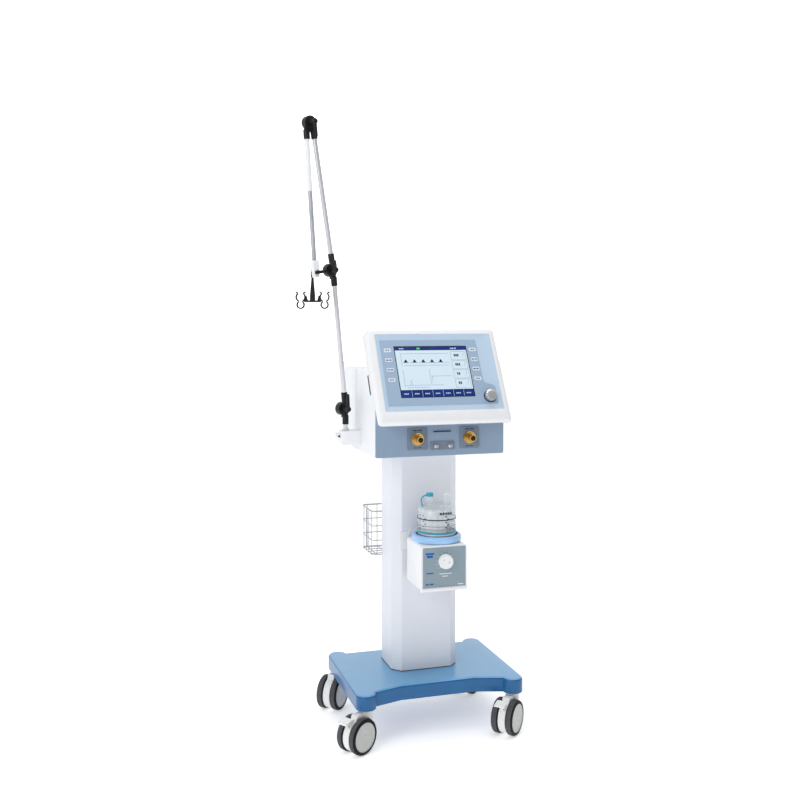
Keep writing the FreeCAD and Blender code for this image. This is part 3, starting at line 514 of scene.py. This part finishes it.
piece("display_picture", picture, "trolley",
      [LCD_BACK, LCD_BLUE, LCD_GREEN, LCD_TEXT, LCD_LINE, LCD_NAVY, DARK_PRINT_AND_SHADOW], FACE)

KEY_COLUMNS = (("left", -162), ("right", 132))
KEY_ROWS = (81, 117, 152, 188)
for side, x in KEY_COLUMNS:
    for i, s in enumerate(KEY_ROWS):
        node = "key_%s_%d" % (side, i + 1)
        softened(node, 0.5, KEY)
        width = 9 if i in (1, 2) else 6
        label = [sheet(x + a, x + b, -s - 1.8, -s + 1.8, 0.85, 1.0)
                 for a, b in ((-width, -1.2), (1.2, width))]
        piece("print_" + node, label, node + "_body", DARK_PRINT_AND_SHADOW, FACE)

knob_at = FACE @ Matrix.Translation((162, -253, 0))
softened("encoder_shaft", 0.4, BLACK)


def fluted(profile, flutes, depth, sides=96, number=0):
    """Lathe whose outer rings carry shallow finger flutes."""
    verts, faces, number = lathe(profile, sides, number)
    biggest = max(r for r, h in profile)
    for v in verts:
        r = sqrt(v.x ** 2 + v.y ** 2)
        if r > biggest - 4:
            turn = Vector((v.x, v.y)).angle_signed(Vector((1, 0)))
            from_axis = abs(cos(flutes / 2 * turn)) ** 6
            v.x *= 1 - depth * from_axis / r
            v.y *= 1 - depth * from_axis / r
    return verts, faces, number


cap_profile = [(5.1, 1.4), (18.6, 1.4), (19.6, 2.2), (19.9, 4), (19.4, 13), (18.6, 15.5), (16.6, 16.8),
               (13, 17.2), (0, 17.4)]
piece("encoder_cap", [fluted(cap_profile, 12, 0.9)], "encoder_turn_body", KNOB, knob_at, ("encoder_knob",))
# Painted shadow: a dark ring round the knob stands in for its shadow on the display.
piece("encoder_shadow_ring", [lathe([(8.5, -0.15), (21.5, -0.15), (22, 0.1), (21.5, 0.35), (8.5, 0.35)], 56)],
      "trolley", DARK_PRINT_AND_SHADOW, knob_at)

softened("power_inlet", 0.6, BLACK)
softened("mains_switch", 0.6, BLACK)
softened("oxygen_inlet", 0.5, CHROME)

# ---- hose arm ------------------------------------------------------------------------------
softened("arm_clamp", 1.6, WHITE)
arm_post = softened("arm_post", 0.8, [BLACK, TUBE])
paint(arm_post, lambda c, n: c.z < 1020.5, 1)
for node in ("arm_lower_joints", "arm_upper_joints", "arm_drop_joint", "parking_clip"):
    softened(node, 0.8, BLACK)
for node in ("arm_lower_rod", "arm_upper_rod"):
    softened(node, 0.8, TUBE)
for node in ("lever_lower", "lever_middle", "lever_top"):
    softened(node, 0.8, BLACK)
softened("neck_sleeve", 1.2, WHITE)
softened("tube_hook", 0.9, BLACK)

drop = link(TOP, DROP_LEAN)
beside = Matrix.Translation((ROD_OFFSET, 0, 0))
tube = [(0, 27), (8, 27), (8, 214), (7.6, 216), (7.2, 216.5), (7.2, 219), (0, 219)]
piece("drop_tube", [lathe(tube, 32, 0, beside)], "arm_drop", TUBE_WHITE, drop, ("gooseneck_upper",))
NECK_START, RIB, RIBS = 218.0, 3.0, 79
ribs = [(0, NECK_START)]
for i in range(RIBS):
    h = NECK_START + RIB * i
    ribs += [(6.5, h), (7.3, h + 0.7), (7.5, h + 1.5), (7.3, h + 2.3)]
ribs.append((0, NECK_START + RIB * RIBS))
neck = piece("gooseneck", [lathe(ribs, 24, 0, beside)], None, NECK, drop, ("gooseneck_lower",))
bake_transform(neck)
collar = [(8.1, 0), (11, 0), (12, 1), (12, 5), (11, 6), (8.1, 6)]
piece("post_collar", [lathe(collar, 40)], "trolley", TUBE, at(POST[0], POST[1], 1000))
screw = [(0, 0), (3.4, 0), (3.8, 0.6), (3.8, 2.2), (3.2, 2.8), (1.8, 2.8), (1.6, 1.4), (0, 1.4)]
piece("clamp_screw", [lathe(screw, 32)], "trolley", BLACK, at(-295, -10.2, 984, (0, -1, 0)))

# ---- humidifier ----------------------------------------------------------------------------
softened("humidifier_bracket", 1.5, WHITE)
softened("humidifier_housing", 2.4, WHITE, steps=4)
softened("humidifier_panel", 0.5, GREY_PANEL)
softened("humidifier_knob", 1.0, WHITE)
softened("heater_plate", 1.0, STEEL)
softened("guard_ring", 3.0, RING, steps=4)
front = TROLLEY @ Matrix.Translation(DIAL)
# Painted shade: the knob's two dimples are flat grey discs standing in for the shade in them.
dent_shades = []
for x, z in ((-10, 8), (9, -2)):
    dent_shades.append(lathe([(0, 0), (3.2, 0), (3.0, 0.3), (0, 0.3)], 24, 0,
                       Matrix.Translation((x, -15.4, z)) @ Matrix.Rotation(radians(90), 4, "X")))
piece("knob_dent_shades", dent_shades, "humidifier_knob_body", HUB, front)
# Eleven marks over three quarters of a turn round the dial, and three words.
TICKS, FIRST_TICK, TICK_STEP = 11, -135, 27
ticks = []
for i in range(TICKS):
    a = radians(FIRST_TICK + TICK_STEP * i)
    c = Vector((sin(a), 0, cos(a)))
    side = Vector((cos(a), 0, -sin(a)))
    ring = [c * 28 - side * 0.6, c * 28 + side * 0.6, c * 32 + side * 0.6, c * 32 - side * 0.6]
    verts = ring + [p + Vector((0, -0.2, 0)) for p in ring]
    ticks.append((verts, BLOCK_FACES, 0))
ticks.append(sheet(-20, 22, -0.2, 0, -42, -39.6))
ticks.append(sheet(-10, 10, -0.2, 0, -50, -47.6))
ticks.append(sheet(44, 62, -0.2, 0, -79, -76))
piece("humidifier_print", ticks, "trolley", INK_WHITE, front)
blue = [sheet(x0, x1, -0.2, 0, z0, z1) for x0, x1, z0, z1 in (
    (-66, -38, 23, 29), (-62, -42, 13, 21), (-64, -40, -39, -35), (-66, -56, -75, -70), (-52, -40, -75, -70))]
piece("humidifier_print_blue", blue, "trolley", INK_BLUE, front)

chamber = TROLLEY @ Matrix.Translation(CHAMBER)
cup = [(0, 0), (65.4, 0), (66, 0.8), (66, 5), (65, 7.4), (64, 8.6), (64, 21.5), (62, 22.1), (61, 21), (61, 3),
       (0, 3)]
piece("chamber_base", [lathe(cup, 72)], "chamber_body", STEEL, chamber, ())
seal = [(60, 22.2), (64.2, 22.2), (64.9, 23.4), (64.9, 26.4), (64, 27.6), (60, 27.6)]
piece("chamber_seal", [lathe(seal, 72)], "chamber_body", TEAL, chamber, ())
wall_profile = [(62.4, 27.7), (64, 28.4), (64, 99), (63, 103.5), (60, 107), (54, 109.5), (30, 111.6),
                (0, 112), (0, 109.5), (30, 109), (53, 107), (58.6, 104.8), (61.4, 101.5), (62, 98),
                (62, 28.4)]
piece("chamber_wall", [lathe(wall_profile, 72)], "chamber_body", CLEAR, chamber, ("water_chamber",))
float_profile = [(0, 8), (40, 8), (42, 10), (42, 88), (40, 92), (34, 95), (0, 95)]
piece("chamber_float", [lathe(float_profile, 64, 0, Matrix.Translation((-8, 6, 0)))], "chamber_body", FLOAT,
      chamber, ())
rings = [[(63.9, 67), (64.4, 67.2), (64.4, 70.4), (63.9, 70.6)]]
rings += [[(63.9, z), (64.2, z + 0.1), (64.2, z + 1.1), (63.9, z + 1.2)] for z in (47, 37)]
piece("chamber_marks", [lathe(ring, 72) for ring in rings], "chamber_body", DARK_PRINT_AND_SHADOW, chamber, ())


def on_wall(angle, width, z0, z1):
    """Small printed block on the chamber's wall, at an angle from the front."""
    verts = []
    for r in (64.0, 64.35):
        for z, a in ((z0, angle - width), (z0, angle + width), (z1, angle + width), (z1, angle - width)):
            verts.append(Vector((r * sin(radians(a)), -r * cos(radians(a)), z)))
    return verts, BLOCK_FACES, 0


print_blocks = [on_wall(-7 + 8.5 * i, 3.0, 86, 94) for i in range(5)]
print_blocks += [on_wall(9 + 8 * (i % 2), 2.6, 78 - 9 * i, 82 - 9 * i) for i in range(5)]
print_blocks += [on_wall(-62 + 7 * (i % 2), 1.8, 80 - 9 * i, 83 - 9 * i) for i in range(5)]
piece("chamber_print", print_blocks, "chamber_body", DARK_PRINT_AND_SHADOW, chamber, ())
spout = [(9, 104), (14, 108), (14, 111.6), (13.2, 112.4), (11, 113), (11, 140), (10.6, 146), (9.2, 146.6),
         (9, 140)]
for name, x in zip(("chamber_port_in", "chamber_port_out"), CHAMBER_PORTS):
    piece(name, [lathe(spout, 48, 0, Matrix.Translation((x, 0, 0)))], "chamber_body", CLEAR, chamber, ())
lid = [(9.1, 138), (11.3, 138), (12.2, 139), (12.2, 147), (11, 149), (0, 149.6), (0, 146.8), (9.1, 146)]
cap = lathe(lid, 48, 0, Matrix.Translation((CHAMBER_PORTS[0], 0, 0)))
strap = hose([(-35, 0, 142), (-44, -2, 141), (-52, -4, 136), (-55, -5, 127), (-53, -5, 116), (-50, -4, 108)],
             2.4, 10)
piece("chamber_cap", [cap, strap], "chamber_body", TEAL, chamber, ())

# ---- stage ---------------------------------------------------------------------------------
def stage_mesh(name, verts, faces, shade):
    """Mesh of the studio, in metres."""
    mesh = bpy.data.meshes.new(name)
    mesh.from_pydata(verts, [], faces)
    mesh.materials.append(shade)
    obj = bpy.data.objects.new(name, mesh)
    bpy.context.scene.collection.objects.link(obj)
    return obj


floor_shade = material("studio_white", (0.93, 0.93, 0.94), 0.9, vary=0.004, bump=0.0, glow=0.42, shine=0.0)
stage_mesh("floor", [(-30, -30, 0), (30, -30, 0), (30, 30, 0), (-30, 30, 0)], [(0, 1, 2, 3)], floor_shade)

# The backdrop is seen by the camera alone, so it neither lights nor shades the trolley.
BACKDROP_RADIUS, BACKDROP_HEIGHT = 28, 25
wall_verts, wall_faces, _ = lathe([(BACKDROP_RADIUS, -0.01), (BACKDROP_RADIUS, BACKDROP_HEIGHT)], 64)
backdrop_shade = material("backdrop_white", (1, 1, 1), 0.9, vary=0.002, bump=0.0, glow=1.0, shine=0.0)
backdrop = stage_mesh("backdrop", wall_verts, wall_faces, backdrop_shade)
backdrop.visible_diffuse = False
backdrop.visible_glossy = False
backdrop.visible_transmission = False
backdrop.visible_shadow = False

world = bpy.data.worlds.new("studio")
world.use_nodes = True
sky = world.node_tree
direction = sky.nodes.new("ShaderNodeTexCoord")
parts = sky.nodes.new("ShaderNodeSeparateXYZ")
fade = sky.nodes.new("ShaderNodeMapRange")
fade.inputs["From Min"].default_value = -0.35
fade.inputs["From Max"].default_value = 0.35
fade.inputs["To Min"].default_value = 0.42
fade.inputs["To Max"].default_value = 1.0
sky.links.new(direction.outputs["Generated"], parts.inputs["Vector"])
sky.links.new(parts.outputs["Y"], fade.inputs["Value"])
sky.links.new(fade.outputs["Result"], sky.nodes["Background"].inputs["Strength"])
sky.nodes["Background"].inputs["Color"].default_value = (1, 1, 1, 1)
bpy.context.scene.world = world


def lamp(name, spot, aim, size, power):
    """Rectangular lamp at a spot, turned towards another."""
    light = bpy.data.lights.new(name, "AREA")
    light.shape = "RECTANGLE"
    light.size, light.size_y = size
    light.energy = power
    obj = bpy.data.objects.new(name, light)
    obj.location = spot
    obj.rotation_mode = "QUATERNION"
    obj.rotation_quaternion = (Vector(aim) - Vector(spot)).to_track_quat("-Z", "Y")
    bpy.context.scene.collection.objects.link(obj)


lamp("key", (-3.2, -2.6, 3.0), (0, 0, 1.0), (2.2, 2.2), 66)
lamp("overhead", (0.4, -0.6, 3.8), (0, 0, 0.6), (2.0, 2.0), 26)

CAMERA_SPOT = Vector((-1061.5, -3197.8, 1377.4))
CAMERA_TURN, CAMERA_DIP = 17.05, 1.99      # degrees to the right of +Y, and downwards
view = bpy.data.cameras.new("camera")
view.sensor_width = 36
view.lens = 44.5455
view.shift_y = -0.06
view.clip_start = 0.05
view.clip_end = 100
camera = bpy.data.objects.new("camera", view)
camera.location = (CAMERA_SPOT + SHIFT) / 1000
turn, dip = radians(CAMERA_TURN), radians(CAMERA_DIP)
camera.rotation_mode = "QUATERNION"
looking = Vector((sin(turn) * cos(dip), cos(turn) * cos(dip), -sin(dip)))
camera.rotation_quaternion = looking.to_track_quat("-Z", "Y")
bpy.context.scene.collection.objects.link(camera)
bpy.context.scene.camera = camera
bpy.context.scene.view_settings.view_transform = "Standard"
